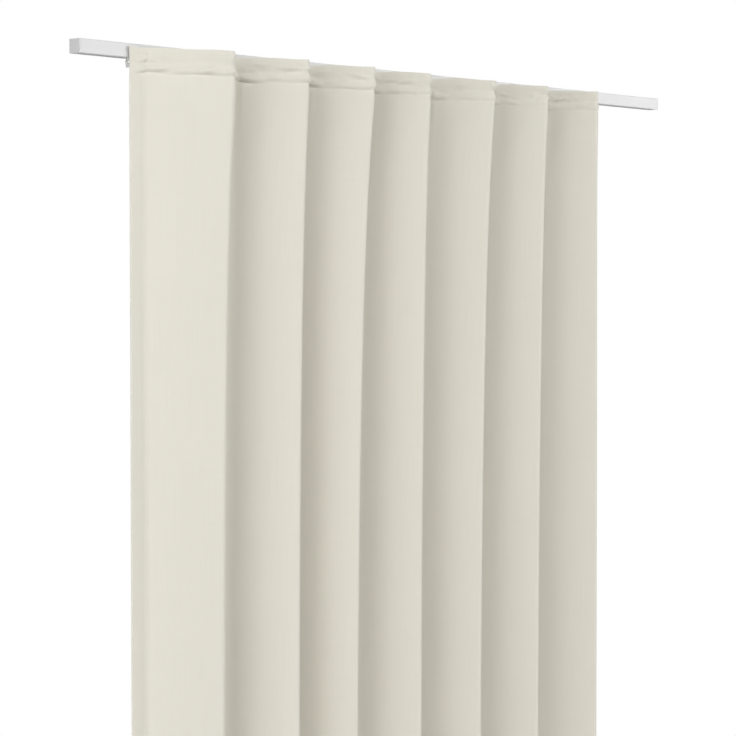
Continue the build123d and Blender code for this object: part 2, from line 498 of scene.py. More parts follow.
@dataclass
class FoldPlan:
    """How the cloth runs to and fro along the rail at each height.

    The line it gives is the cloth's back face. A turn at the rail is at a hook, and a turn at the front
    lies between two hooks. A station counts the runs of the line from its left end: 2.5 is the middle of
    the third run, at any height.
    """

    side_hem: float = 20 * MM
    rail_gap: float = 1.2 * MM
    tape_thickness: float = 0.8 * MM
    trough_radius: float = 18 * MM
    crest_radius: float = 5.5 * MM
    heading_height: float = 33 * MM
    heading_depth: float = 57 * MM
    body_depth: float = 62 * MM
    settle_length: float = 350 * MM
    lean: float = 34 * MM
    crest_place_shares: tuple[float, ...] = (0.608, 0.545, 0.554, 0.474, 0.558, 0.535, 0.553)
    crest_lean_shares: tuple[float, ...] = (0.83, 0.78, 1.28, 0.78, 1.11, 0.80, 0.10)
    trough_lean_share: float = 0.8
    belly: float = 0.9 * MM
    near_rail: float = 1 * MM
    hook_tries: int = 8000
    trough_columns: int = 8
    crest_columns: int = 7

    def __post_init__(self) -> None:
        """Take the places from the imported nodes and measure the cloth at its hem."""
        low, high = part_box("curtain")
        self.left, self.right = low.x, high.x
        self.top, self.bottom = high.z, low.z
        self.length = self.top - self.bottom
        self.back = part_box("rail")[0].y - self.rail_gap - self.tape_thickness
        hooks = [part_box(name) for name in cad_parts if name.startswith("hook_")]
        self.hooks = sorted((low.x + high.x) / 2 for low, high in hooks)
        self.troughs = [self.left + self.side_hem, *self.hooks[1:-1], self.right - self.side_hem]
        lengths = [run.length for run in self.runs(self.length)]
        self.reached = np.concatenate(((0.0,), np.cumsum(lengths)))
        self.width = float(self.reached[-1])

    def turns(self, drop: float) -> list[tuple[np.ndarray, Turn]]:
        """Where the cloth turns, at one height.

        Args:
            drop: distance below the cloth's top edge.

        Returns:
            Each turn's centre, and which way it turns.
        """
        settled = 1 - math.exp(min(self.heading_height - drop, 0) / self.settle_length)
        lean = settled * self.lean
        depth = self.heading_depth + settled * (self.body_depth - self.heading_depth)
        last = len(self.crest_place_shares)
        found = []
        for index, trough in enumerate(self.troughs):
            drift = 0.0
            if 0 < index < last:
                drift = self.trough_lean_share * lean * sum(self.crest_lean_shares[index - 1:index + 1]) / 2
            found.append((np.array((trough - drift, self.back - self.trough_radius)), Turn.AT_RAIL))
            if index < last:
                crest = trough + self.crest_place_shares[index] * (self.troughs[index + 1] - trough)
                crest -= self.crest_lean_shares[index] * lean
                found.append((np.array((crest, self.back - depth + self.crest_radius)), Turn.AT_FRONT))
        return found

    def leaving(self, here: np.ndarray, after: np.ndarray, turn: Turn) -> np.ndarray:
        """The direction from a turn's centre to where the cloth leaves it.

        Args:
            here: the turn's centre.
            after: the next turn's centre.
            turn: which way it turns.

        Returns:
            A unit vector.
        """
        along = after - here
        distance = float(np.hypot(*along))
        across = turn * np.array((-along[1], along[0]))
        near = (self.trough_radius + self.crest_radius) / distance
        return (along * near + across * math.sqrt(1 - near * near)) / distance

    def runs(self, drop: float) -> list[Run]:
        """The straight stretches and turns of the cloth's line, from left to right.

        Args:
            drop: distance below the cloth's top edge.

        Returns:
            The runs: a straight stretch, a turn and so on, with a straight stretch at the end.
        """
        turns = self.turns(drop)
        at_rail = np.array((0.0, 1.0))
        found = []
        point = np.array((self.left, self.back))
        arrive = at_rail
        for index, (centre, turn) in enumerate(turns):
            radius = self.trough_radius if turn is Turn.AT_RAIL else self.crest_radius
            leave = at_rail
            if index + 1 < len(turns):
                leave = self.leaving(centre, turns[index + 1][0], turn)
            begin = centre + radius * arrive
            found.append(Run(float(np.hypot(*(begin - point))), point, begin))
            angle = math.atan2(arrive[1], arrive[0])
            sweep = -turn * ((-turn * (math.atan2(leave[1], leave[0]) - angle)) % FULL_TURN)
            found.append(Run(radius * abs(sweep), centre, None, turn, radius, angle, sweep))
            point = centre + radius * leave
            arrive = -leave
        end = np.array((self.right, self.back))
        found.append(Run(float(np.hypot(*(end - point))), point, end))
        return found

    def line(self, drop: float, stations: np.ndarray) -> tuple[np.ndarray, np.ndarray]:
        """Points along the cloth's back face at one height.

        Args:
            drop: distance below the cloth's top edge.
            stations: places along the line.

        Returns:
            The points, and their unit normals out of the cloth's back.
        """
        points = np.zeros((len(stations), 2))
        normals = np.zeros((len(stations), 2))
        runs = self.runs(drop)
        numbers = np.clip(np.floor(stations).astype(int), 0, len(runs) - 1)
        for number, run in enumerate(runs):
            chosen = numbers == number
            points[chosen], normals[chosen] = run.at(stations[chosen] - number)
            if run.turn is Turn.STRAIGHT and 0 < number < len(runs) - 1:
                turn_before = runs[number - 1].turn
                bend = self.belly * turn_before * np.sin(FULL_TURN * (stations[chosen] - number))
                points[chosen] += bend[:, None] * normals[chosen]
        return points, normals

    def across(self, stations: np.ndarray) -> np.ndarray:
        """Flat distances from the cloth's left edge to some stations."""
        return np.interp(stations, np.arange(len(self.reached)), self.reached)

    def stations(self, across: np.ndarray) -> np.ndarray:
        """The stations at some flat distances from the cloth's left edge."""
        return np.interp(across, self.reached, np.arange(len(self.reached)))

    def between_edges(self, across: np.ndarray, ends: Pair) -> np.ndarray:
        """A value that changes evenly from the cloth's left edge to its right one."""
        return np.interp(across, (0, self.width), ends)

    def from_edge(self, across: np.ndarray) -> np.ndarray:
        """Flat distances to the nearer side edge of the cloth."""
        return np.minimum(across, self.width - across)

    def even_stations(self, straight_columns: int) -> np.ndarray:
        """Stations for a grid's columns.

        Args:
            straight_columns: how many go to a straight stretch.

        Returns:
            The stations, from the left edge to the right one.
        """
        columns = {Turn.STRAIGHT: straight_columns, Turn.AT_RAIL: self.trough_columns,
                   Turn.AT_FRONT: self.crest_columns}
        found = []
        for number, run in enumerate(self.runs(self.length)):
            count = columns[run.turn]
            found.append(number + np.arange(count) / count)
        found.append(np.array((float(len(self.reached) - 1),)))
        return np.concatenate(found)

    def hook_stations(self) -> np.ndarray:
        """The stations of the hooks' pockets, where the cloth lies at the rail.

        Returns:
            One station for each hook, from left to right.
        """
        tries = np.linspace(0, len(self.reached) - 1, self.hook_tries)
        points, _ = self.line(0.0, tries)
        near = np.abs(points[:, 1] - self.back) < self.near_rail
        return np.array([tries[near][np.argmin(np.abs(points[near, 0] - place))] for place in self.hooks])


@dataclass(frozen=True)
class Crease:
    """A soft crease pulled through the cloth, from one place to another.

    Args:
        start: flat place across and drop where it begins, in metres.
        run: how far it goes across and down, in metres.
        width: how far it slopes off on its left, in metres.
        rise: its height out of the cloth's front, in metres.
        right_share: its slope's width on the right, as a share of the left one.
        full_shares: where along its run it reaches its full height and where it begins to fade.
    """

    start: Pair
    run: Pair
    width: float
    rise: float
    right_share: float = 1.0
    full_shares: Pair = (0.2, 0.4)

    def height(self, across: np.ndarray, drop: Lengths) -> np.ndarray:
        """How far the crease lifts the cloth.

        Args:
            across: flat places across the cloth.
            drop: distances below its top edge.

        Returns:
            Heights out of the cloth's front.
        """
        length = math.hypot(*self.run)
        unit = (self.run[0] / length, self.run[1] / length)
        near_x, near_y = across - self.start[0], drop - self.start[1]
        along = (near_x * unit[0] + near_y * unit[1]) / length
        aside = (near_x * unit[1] - near_y * unit[0]) / self.width
        aside = np.where(aside > 0, aside / self.right_share, aside)
        grown, fading = self.full_shares
        fade = smooth_step(along, 0, grown) * (1 - smooth_step(along, fading, 1))
        return self.rise * fade * np.exp(-aside * aside)


# Where each crease starts across and down, how far it runs across and down, its width and its rise, all in
# millimetres, and its right slope's width as a share of the left one's.
PULLED_CREASES = (
    (42, 2, -16, 30, 4, 1.4, 1.0),
    (40, 14, 12, 18, 4, 1.2, 1.0),
    (50, 30, 65, 75, 14, 2.6, 0.5),
    (150, 32, -30, 130, 8, 1.2, 1.0),
    (300, 32, -45, 120, 8, 1.4, 1.0),
    (490, 32, -40, 140, 9, 1.2, 1.0),
    (560, 32, 35, 90, 7, 1.2, 0.6),
    (675, 32, -40, 120, 8, 1.3, 1.0),
    (860, 32, -50, 140, 9, 1.3, 1.0),
    (1045, 32, -40, 110, 8, 1.2, 1.0),
    (1225, 32, -45, 130, 8, 1.3, 1.0),
)


@dataclass
class Heading:
    """The gathered band along the cloth's top: its seams, ridges, tucks and creases.

    The frill stands above the middle seam, the ridge between the two lower seams and the bulge below them.
    Slack cloth fills part of the dip at the lowest seam. Tucks lie beside the hooks, puckers run along the
    band, and the gathers are short slanting wrinkles.
    """

    plan: FoldPlan
    seam_drops: tuple[float, ...] = (6.5 * MM, 17.5 * MM, 31.4 * MM)
    seam_waves: tuple[Wander, ...] = (
        Wander(75 * MM, 31, 0.4 * MM), Wander(75 * MM, 32, 3.0 * MM), Wander(75 * MM, 33, 1.5 * MM))
    frill_rise: float = 2.2 * MM
    frill_start: float = -5 * MM
    frill_wave: Wander = Wander(60 * MM, 11, 0.3)
    ridge_rise: float = 3.4 * MM
    ridge_mean_share: float = 0.75
    ridge_wave: Wander = Wander(48 * MM, 12, 0.45)
    ridge_ripple: Wander = Wander(19 * MM, 14, 0.2)
    ridge_limit_shares: Pair = (0.2, 1.4)
    ridge_end_shares: Pair = (1.35, 0.55)
    ridge_sag: float = 1.25
    bulge_rise: float = 2.2 * MM
    bulge_wave: Wander = Wander(40 * MM, 13, 0.3)
    bulge_start: float = 5 * MM
    bulge_length: float = 70 * MM
    slack_rise: float = 1.8 * MM
    slack_width: float = 5 * MM
    slack_end_shares: Pair = (0.2, 0.7)
    slack_wave: Wander = Wander(105 * MM, 17, 0.6)
    pucker_wave: Wander = Wander(17 * MM, 21, 0.4 * MM)
    pucker_slant: float = 0.4
    deepest: float = -0.2 * MM
    tuck_rise: float = 4.0 * MM
    tuck_width: float = 8 * MM
    tuck_offset: float = 10 * MM
    gathers: int = 110
    gather_seed: int = 8
    gather_place_shares: Pair = (0.1, 0.9)
    gather_slant: float = 70.0
    gather_lengths: Pair = (12 * MM, 34 * MM)
    gather_drops: Pair = (7 * MM, 25 * MM)
    gather_widths: Pair = (2.4 * MM, 4.4 * MM)
    gather_rises: Pair = (1.0 * MM, 2.8 * MM)
    gather_right_share: float = 0.6

    def __post_init__(self) -> None:
        """List the creases that hooks and tape pull into the cloth, and the tucks beside the hooks."""
        self.creases = []
        for *sizes, right_share in PULLED_CREASES:
            across, drop, aside, down, width, rise = (size * MM for size in sizes)
            self.creases.append(Crease((across, drop), (aside, down), width, rise, right_share))
        self.creases += self.small_gathers()
        self.tucks = self.plan.across(self.plan.hook_stations()[1:-1]) + self.tuck_offset

    def small_gathers(self) -> list[Crease]:
        """Make the short slanting wrinkles that the tape draws into the heading.

        Returns:
            The wrinkles, from left to right.
        """
        chance = np.random.RandomState(self.gather_seed)
        found = []
        for number in range(self.gathers):
            across = (number + chance.uniform(*self.gather_place_shares)) / self.gathers * self.plan.width
            slant = math.radians(chance.triangular(-self.gather_slant, 0, self.gather_slant))
            length = chance.uniform(*self.gather_lengths)
            run = (length * math.cos(slant), length * math.sin(slant))
            middle = chance.uniform(*self.gather_drops)
            start = (across - run[0] / 2, middle - run[1] / 2)
            width = chance.uniform(*self.gather_widths)
            rise = chance.uniform(*self.gather_rises)
            found.append(Crease(start, run, width, rise, self.gather_right_share))
        return found

    def seam(self, number: int, across: np.ndarray) -> np.ndarray:
        """The drop of one of the seams, counted from the top, which wander a little."""
        return self.seam_drops[number] + self.seam_waves[number].at(across)

    def swell(self, across: np.ndarray) -> np.ndarray:
        """How high the ridge between the two lower seams is along the cloth.

        Args:
            across: flat places across the cloth.

        Returns:
            Heights of the ridge's top.
        """
        uneven = self.ridge_mean_share + self.ridge_wave.at(across) + self.ridge_ripple.at(across)
        ends = self.plan.between_edges(across, self.ridge_end_shares)
        return self.ridge_rise * np.clip(uneven, *self.ridge_limit_shares) * ends

    def slack(self, across: np.ndarray) -> np.ndarray:
        """How high the cloth stands at the lowest seam, where the thread doesn't draw it in.

        Args:
            across: flat places across the cloth.

        Returns:
            Heights at the seam.
        """
        share = self.plan.between_edges(across, self.slack_end_shares) + self.slack_wave.at(across)
        return self.slack_rise * np.clip(share, 0, 1)

    def rise(self, across: np.ndarray, drop: Lengths) -> np.ndarray:
        """How far the heading stands out between its seams.

        Args:
            across: flat places across the cloth.
            drop: distance below the top edge.

        Returns:
            Heights out of the cloth's front.
        """
        middle, low = self.seam(1, across), self.seam(2, across)
        from_tucks = (across[:, None] - self.tucks[None, :]) / self.tuck_width
        tuck = self.tuck_rise * np.exp(-from_tucks ** 2).sum(axis=1)
        upper = np.clip((drop - self.frill_start) / (middle - self.frill_start), 0, 1)
        frill = np.sin(math.pi * upper) * self.frill_rise * (1 + self.frill_wave.at(across))
        between = np.clip((drop - middle) / (low - middle), 0, 1)
        ridge = np.sin(math.pi * between ** self.ridge_sag) * (self.swell(across) + tuck)
        pucker = self.pucker_wave.at(across + self.pucker_slant * drop)
        pucker = pucker * (np.sin(math.pi * upper) + np.sin(math.pi * between))
        below = np.maximum(drop - low, 0)
        bulge = self.bulge_rise * (1 + self.bulge_wave.at(across)) + tuck
        bulge = bulge * (1 - np.exp(-below / self.bulge_start)) * np.exp(-below / self.bulge_length)
        fill = self.slack(across) * np.exp(-((drop - low) / self.slack_width) ** 2)
        total = np.maximum(frill + ridge + pucker, self.deepest) + bulge + fill
        return total + sum(crease.height(across, drop) for crease in self.creases)


def new_grid(name: str, columns: int, rows: int) -> bpy.types.Object:
    """Lay out a flat grid that is then hung.

    Args:
        name: the object's name.
        columns: points across.
        rows: points down.

    Returns:
        The grid's object, with its points in rows.
    """
    bpy.ops.object.select_all(action="DESELECT")
    bpy.ops.mesh.primitive_grid_add(x_subdivisions=columns - 1, y_subdivisions=rows - 1, size=1.0)
    piece = bpy.context.object
    piece.name = name
    return piece


def set_points(piece: bpy.types.Object, points: np.ndarray, flat: np.ndarray) -> None:
    """Move a grid's points to their places and store their flat coordinates as its UV map.

    Args:
        piece: the grid's object.
        points: the places, in the grid's order.
        flat: the flat coordinates, in metres, in the same order.
    """
    mesh = piece.data
    mesh.vertices.foreach_set("co", points.astype(np.float32).ravel())
    corner = np.zeros(len(mesh.loops), np.int32)
    mesh.loops.foreach_get("vertex_index", corner)
    mesh.uv_layers[0].data.foreach_set("uv", flat[corner].astype(np.float32).ravel())
    mesh.update()


def select_faces(piece: bpy.types.Object, wanted: Callable[[bpy.types.MeshPolygon], bool]) -> None:
    """Select some faces of the active object, and leave it in edit mode.

    Args:
        piece: the object.
        wanted: says whether a face is to be selected.
    """
    bpy.ops.object.mode_set(mode="EDIT")
    bpy.ops.mesh.select_mode(type="FACE")
    bpy.ops.mesh.select_all(action="DESELECT")
    bpy.ops.object.mode_set(mode="OBJECT")
    for face in piece.data.polygons:
        face.select = wanted(face)
    bpy.ops.object.mode_set(mode="EDIT")


def drop_faces(piece: bpy.types.Object, unwanted: np.ndarray) -> None:
    """Delete the faces all of whose points are marked.

    Args:
        piece: the object.
        unwanted: True for each marked point.
    """
    select_faces(piece, lambda face: bool(unwanted[list(face.vertices)].all()))
    bpy.ops.mesh.delete(type="FACE")
    bpy.ops.object.mode_set(mode="OBJECT")


def thicken(piece: bpy.types.Object, thickness: float, back_slot: int = 0) -> None:
    """Give a sheet its thickness, away from the side that its faces point to.

    Args:
        piece: the sheet's object.
        thickness: in metres.
        back_slot: how many material slots further on the far side's finish is.
    """
    solid = piece.modifiers.new("thickness", "SOLIDIFY")
    solid.thickness = thickness
    solid.offset = -1.0
    solid.material_offset = back_slot
    bpy.ops.object.modifier_apply(modifier=solid.name)
    bpy.ops.object.shade_smooth_by_angle(angle=SMOOTH_ANGLE)


def finish_soft(piece: bpy.types.Object) -> None:
    """Let a soft piece ride on the curtain.

    Args:
        piece: the finished piece.
    """
    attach(piece, CURTAIN_BODY)
    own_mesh(piece)
    log.info("%s: %d faces", piece.name, len(piece.data.polygons))


@dataclass
class Cloth:
    """The curtain itself: one sheet with turned hems, a gathered heading and long soft folds.

    The sheet is a grid of points. Its rows go down the front, round the bottom fold and up the bottom hem,
    and its columns go along the left hem, round the left fold, across the front and likewise on the right.
    """

    plan: FoldPlan
    heading: Heading
    thickness: float = 1.0 * MM
    cloth_depth: float = 1.2 * MM
    bottom_hem: float = 80 * MM
    hem_back: float = 0.9 * MM
    corner_back: float = 2.0 * MM
    corner_ease: Pair = (21 * MM, 32 * MM)
    edge_ease: Pair = (-4 * MM, 26 * MM)
    notch_below_heading: float = 4 * MM
    ripple_rise: float = 1.4 * MM
    ripple_growth: float = 400 * MM
    slow_wave: Wander = Wander(160 * MM, 51)
    slow_slant: float = 0.05
    quick_wave: Wander = Wander(70 * MM, 52, 0.5)
    quick_slant: float = -0.03
    sway_shares: Pair = (0.6, 0.4)
    sway_length: float = 1300 * MM
    sway_phase: float = 0.8
    top_ends: Pair = (1.0 * MM, -2.0 * MM)
    top_wave: Wander = Wander(60 * MM, 61, 0.9 * MM)
    straight_columns: int = 20
    heading_rows_end: float = 42 * MM
    heading_rows: int = 35
    upper_row_step: float = 12 * MM
    upper_rows: int = 14
    middle_rows_ends: Pair = (200 * MM, 800 * MM)
    middle_rows: int = 14
    lower_rows: int = 18
    hem_seam_ease: float = 2 * MM
    hem_rows_start: float = 10 * MM
    hem_rows: int = 6
    hem_columns: int = 5
    fold_angles: Triple = (45, 90, 135)

    def __post_init__(self) -> None:
        """Lay out the grid's columns and rows."""
        plan = self.plan
        self.front = plan.even_stations(self.straight_columns)
        self.front_across = plan.across(self.front)
        self.hem_across = np.linspace(0, plan.side_hem, self.hem_columns)
        self.bends = np.radians(self.fold_angles)
        self.side_columns = len(self.bends) + self.hem_columns
        self.middle = slice(self.side_columns, self.side_columns + len(self.front))
        self.drops = self.row_drops()
        self.hem_drops = plan.length - np.linspace(0, self.bottom_hem, self.hem_rows)
        self.first_turned = len(self.drops) + len(self.bends)
        self.rows = self.first_turned + self.hem_rows
        self.columns = len(self.front) + 2 * self.side_columns
        self.notch_end = plan.heading_height + self.notch_below_heading

    def row_drops(self) -> np.ndarray:
        """Set the grid's rows close together where the cloth is worked.

        Returns:
            Distances of the front's rows below the top edge.
        """
        hem_line = self.plan.length - self.bottom_hem
        seam_start = hem_line - self.hem_seam_ease
        middle_start, middle_end = self.middle_rows_ends
        return np.concatenate((
            np.linspace(0, self.heading_rows_end, self.heading_rows, endpoint=False),
            self.heading_rows_end + self.upper_row_step * np.arange(self.upper_rows),
            np.linspace(middle_start, middle_end, self.middle_rows, endpoint=False),
            np.linspace(middle_end, seam_start, self.lower_rows, endpoint=False),
            np.array((seam_start, hem_line, hem_line + self.hem_seam_ease)),
            np.linspace(hem_line + self.hem_rows_start, self.plan.length, self.hem_rows),
        ))

    def ripple(self, across: np.ndarray, drop: Lengths) -> np.ndarray:
        """Long soft unevenness below the heading, the same for every layer.

        Args:
            across: flat places across the cloth.
            drop: distance below the top edge.

        Returns:
            Heights out of the cloth's front.
        """
        below = np.maximum(drop - self.heading.seam_drops[-1], 0)
        slow = self.slow_wave.at(across + self.slow_slant * drop)
        quick = self.quick_wave.at(across + self.quick_slant * drop)
        steady, swaying = self.sway_shares
        sway = steady + swaying * np.sin(FULL_TURN * drop / self.sway_length + self.sway_phase)
        return self.ripple_rise * (1 - np.exp(-below / self.ripple_growth)) * sway * (slow + quick)

    def ease(self, across: np.ndarray) -> np.ndarray:
        """The share of its unevenness that the cloth keeps near its side edges."""
        return smooth_step(self.plan.from_edge(across), *self.edge_ease)

    def face(self, drop: Lengths, stations: np.ndarray) -> tuple[np.ndarray, np.ndarray]:
        """The cloth's front face at one height.

        Args:
            drop: distance below the top edge.
            stations: places across.

        Returns:
            The points in plan, and their normals out of the cloth's back.
        """
        points, normals = self.plan.line(float(np.min(drop)), stations)
        across = self.plan.across(stations)
        rise = (self.heading.rise(across, drop) + self.ripple(across, drop)) * self.ease(across)
        return points - normals * (self.cloth_depth + rise)[:, None], normals

    def turned(self, drop: Lengths, stations: np.ndarray, back: Lengths) -> tuple[np.ndarray, np.ndarray]:
        """A hem's turned layer at one height.

        Args:
            drop: distance below the top edge.
            stations: places across.
            back: how far the layer's outer face lies behind the cloth's own back face.

        Returns:
            The points in plan, and their normals out of the cloth's back.
        """
        points, normals = self.plan.line(float(np.min(drop)), stations)
        across = self.plan.across(stations)
        rise = self.ripple(across, drop) * self.ease(across)
        return points + normals * (back - rise)[:, None], normals

    def height(self, across: np.ndarray, drop: Lengths) -> np.ndarray:
        """How high the cloth is; its top edge rises and dips.

        Args:
            across: flat places across the cloth.
            drop: distance below the top edge.

        Returns:
            Heights.
        """
        fade = np.clip(1 - drop / self.heading.seam_drops[1], 0, 1)
        edge = self.plan.between_edges(across, self.top_ends) + self.top_wave.at(across)
        return self.plan.top - drop + fade * edge

    def flat_places(self) -> np.ndarray:
        """Lay the cut sheet out flat.

        Returns:
            The flat coordinates of the grid's points, in metres.
        """
        width, length = self.plan.width, self.plan.length
        fold = np.zeros(len(self.bends))
        flat = np.zeros((self.rows, self.columns, 2))
        flat[:, :, 0] = np.concatenate((-self.hem_across[::-1], fold, self.front_across,
                                        fold + width, self.hem_across + width))
        flat[:len(self.drops), :, 1] = (length - self.drops)[:, None]
        flat[self.first_turned:, :, 1] = (self.hem_drops - length)[:, None]
        return flat

    def hang_front(self, points: np.ndarray) -> None:
        """Hang the front's rows in their folds, and turn the side hems behind their ends.

        Args:
            points: the places of the grid's points, which are filled in.
        """
        last = -self.side_columns - 1
        left, right = (self.plan.stations(across)
                       for across in (self.hem_across, self.plan.width - self.hem_across))
        for line, drop in zip(points, self.drops):
            line[self.middle, :2] = self.face(drop, self.front)[0]
            line[self.middle, 2] = self.height(self.front_across, drop)
            for side, half, stations in ((-1, line[::-1], left), (1, line, right)):
                layer, _ = self.turned(drop, stations, self.hem_back)
                edge, far = half[last, :2].copy(), layer[0]
                reach = side * np.hypot(*(far - edge)) / 2
                fold = (edge + far) / 2 - np.outer(np.cos(self.bends), far - edge) / 2
                fold[:, 0] += reach * np.sin(self.bends)
                half[last + 1:, :2] = np.concatenate((fold, layer))
                half[last + 1:, 2] = half[last, 2]
                if drop < self.notch_end:
                    half[last, 0] += reach

    def turn_bottom(self, points: np.ndarray) -> None:
        """Turn the bottom hem up behind the front.

        Args:
            points: the places of the grid's points, which are filled in.
        """
        corner = 1 - smooth_step(self.plan.from_edge(self.front_across), *self.corner_ease)
        back = self.hem_back + (self.corner_back - self.hem_back) * corner
        for line, drop in zip(points[self.first_turned:], self.hem_drops):
            line[self.middle, :2] = self.turned(drop, self.front, back)[0]
            line[self.middle, 2] = self.plan.top - drop
        front, hem = points[len(self.drops) - 1, self.middle], points[self.first_turned, self.middle]
        reach = np.hypot(*(hem - front)[:, :2].T) / 2
        for line, angle in zip(points[len(self.drops):], self.bends):
            line[self.middle] = (front + hem) / 2 - (hem - front) / 2 * math.cos(angle)
            line[self.middle, 2] -= reach * math.sin(angle)
        below = points[len(self.drops):]
        below[:, :self.side_columns] = below[:, self.side_columns, None]
        below[:, -self.side_columns:] = below[:, -self.side_columns - 1, None]

    def cut_away(self) -> np.ndarray:
        """Mark where the side hems are cut away: beside the heading and in the bottom corners.

        Returns:
            True for each marked point of the grid.
        """
        marked = np.zeros((self.rows, self.columns), bool)
        marked[:int(np.searchsorted(self.drops, self.notch_end))] = True
        marked[len(self.drops) - 1:] = True
        marked[:, self.side_columns + 1:-self.side_columns - 1] = False
        return marked

    def build(self) -> bpy.types.Object:
        """Lay the sheet out flat, hang it in its folds, turn its hems and thicken it.

        Returns:
            The cloth's object.
        """
        points = np.zeros((self.rows, self.columns, 3))
        self.hang_front(points)
        self.turn_bottom(points)
        piece = new_grid("curtain_cloth", self.columns, self.rows)
        set_points(piece, points[::-1].reshape(-1, 3), self.flat_places()[::-1].reshape(-1, 2))
        drop_faces(piece, self.cut_away()[::-1].reshape(-1))
        for finish in (CLOTH_FACE, CLOTH_BACK):
            piece.data.materials.append(finish.material())
        thicken(piece, self.thickness, back_slot=1)
        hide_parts("curtain")
        finish_soft(piece)
        return piece


@dataclass
class HeadingTape:
    """The woven tape along the back of the heading, its strip of pockets and the loops on the hooks."""

    plan: FoldPlan
    top_drop: float = 5 * MM
    height: float = 28 * MM
    thickness: float = 0.7 * MM
    pocket_drop: float = 20 * MM
    pocket_height: float = 9 * MM
    pocket_space: float = 2.2 * MM
    pocket_half: float = 3.0 * MM
    pocket_slope: float = 2.4 * MM
    pocket_pitch: float = 42 * MM
    first_pocket_share: float = 0.5
    hook_clear_share: float = 0.4
    empty_space: float = 0.5 * MM
    strip_thickness: float = 0.4 * MM
    strip_gap: float = 0.1 * MM
    strip_margin: float = 1 * MM
    loop_half: float = 5.6 * MM
    loop_clearance: float = 11.5 * MM
    straight_columns: int = 10
    tape_rows: int = 7
    strip_columns: int = 900
    pocket_rows: int = 6
    loop_columns: int = 23

    def __post_init__(self) -> None:
        """Find the hooks along the tape and make the weave that all its parts share."""
        self.hooked = self.plan.across(self.plan.hook_stations())
        self.weave = TAPE_WEAVE.material()

    def band(self, name: str, across: np.ndarray, drops: np.ndarray, back: Lengths) -> bpy.types.Object:
        """Lay a band along the cloth's back.

        Args:
            name: the band's name.
            across: flat places of its columns.
            drops: drops of its rows.
            back: how far its columns lie behind the cloth's back face.

        Returns:
            The band's object, a sheet whose faces point away from the cloth.
        """
        stations = self.plan.stations(across)
        points = np.zeros((len(drops), len(across), 3))
        for line, drop in zip(points, drops):
            places, normals = self.plan.line(drop, stations)
            line[:, :2] = places + normals * np.reshape(back, (-1, 1))
            line[:, 2] = self.plan.top - drop
        flat = np.stack(np.meshgrid(across, -drops), axis=2)
        piece = new_grid(name, len(across), len(drops))
        set_points(piece, points.reshape(-1, 3), flat.reshape(-1, 2))
        piece.data.materials.append(self.weave)
        return piece

    def from_hooks(self, across: np.ndarray) -> np.ndarray:
        """Flat distances to the nearest hook."""
        return np.abs(across[:, None] - self.hooked[None, :]).min(axis=1)

    def pocket_back(self, across: np.ndarray) -> np.ndarray:
        """How far the pockets stand behind the cloth's back face.

        Args:
            across: flat places along the tape.

        Returns:
            Distances to the pockets' outer face.
        """
        empty = np.arange(self.first_pocket_share * self.pocket_pitch, self.plan.width, self.pocket_pitch)
        empty = empty[self.from_hooks(empty) > self.hook_clear_share * self.pocket_pitch]
        space = np.zeros_like(across)
        for places, most in ((self.hooked, self.pocket_space), (empty, self.empty_space)):
            for place in places:
                away = np.abs(across - place)
                slope = smooth_step(away, self.pocket_half, self.pocket_half + self.pocket_slope)
                space = np.maximum(space, most * (1 - slope))
        return self.thickness + self.strip_thickness + self.strip_gap + space

    def build(self) -> list[bpy.types.Object]:
        """Weave the tape, the strip of pockets and the loops.

        Returns:
            The tape's object, the strip's and the loops'.
        """
        drops = self.pocket_drop + np.linspace(0, self.pocket_height, self.pocket_rows)
        found = [self.tape(), self.strip(drops)]
        for piece in found:
            finish_soft(piece)
        return [*found, *self.loops(drops)]

    def tape(self) -> bpy.types.Object:
        """Weave the tape itself.

        Returns:
            The tape's object.
        """
        across = self.plan.across(self.plan.even_stations(self.straight_columns))
        drops = self.top_drop + np.linspace(0, self.height, self.tape_rows)
        tape = self.band("tape_woven", across, drops, self.thickness)
        thicken(tape, self.thickness)
        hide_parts("heading_tape")
        return tape

    def strip(self, drops: np.ndarray) -> bpy.types.Object:
        """Weave the strip of empty pockets, which leaves a space at each hook.

        Args:
            drops: drops of its rows.

        Returns:
            The strip's object.
        """
        across = np.linspace(self.strip_margin, self.plan.width - self.strip_margin, self.strip_columns)
        strip = self.band("tape_pockets", across, drops, self.pocket_back(across))
        unwanted = self.from_hooks(across) < self.loop_clearance
        unwanted |= (across < self.hooked[0]) | (across > self.hooked[-1])
        drop_faces(strip, np.tile(unwanted, len(drops)))
        thicken(strip, self.strip_thickness)
        return strip

    def loops(self, drops: np.ndarray) -> list[bpy.types.Object]:
        """Weave the pockets that the hooks are in; each goes along with its hook.

        Args:
            drops: drops of their rows.

        Returns:
            The loops, from left to right.
        """
        found = []
        for number, place in enumerate(self.hooked, start=1):
            across = np.linspace(place - self.loop_half, place + self.loop_half, self.loop_columns)
            loop = self.band(f"tape_loop_{number}", across, drops, self.pocket_back(across))
            thicken(loop, self.strip_thickness)
            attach(loop, CURTAIN_BODY if number == 1 else f"glider_{number}")
            log.info("%s: %d faces", loop.name, len(loop.data.polygons))
            found.append(loop)
        return found


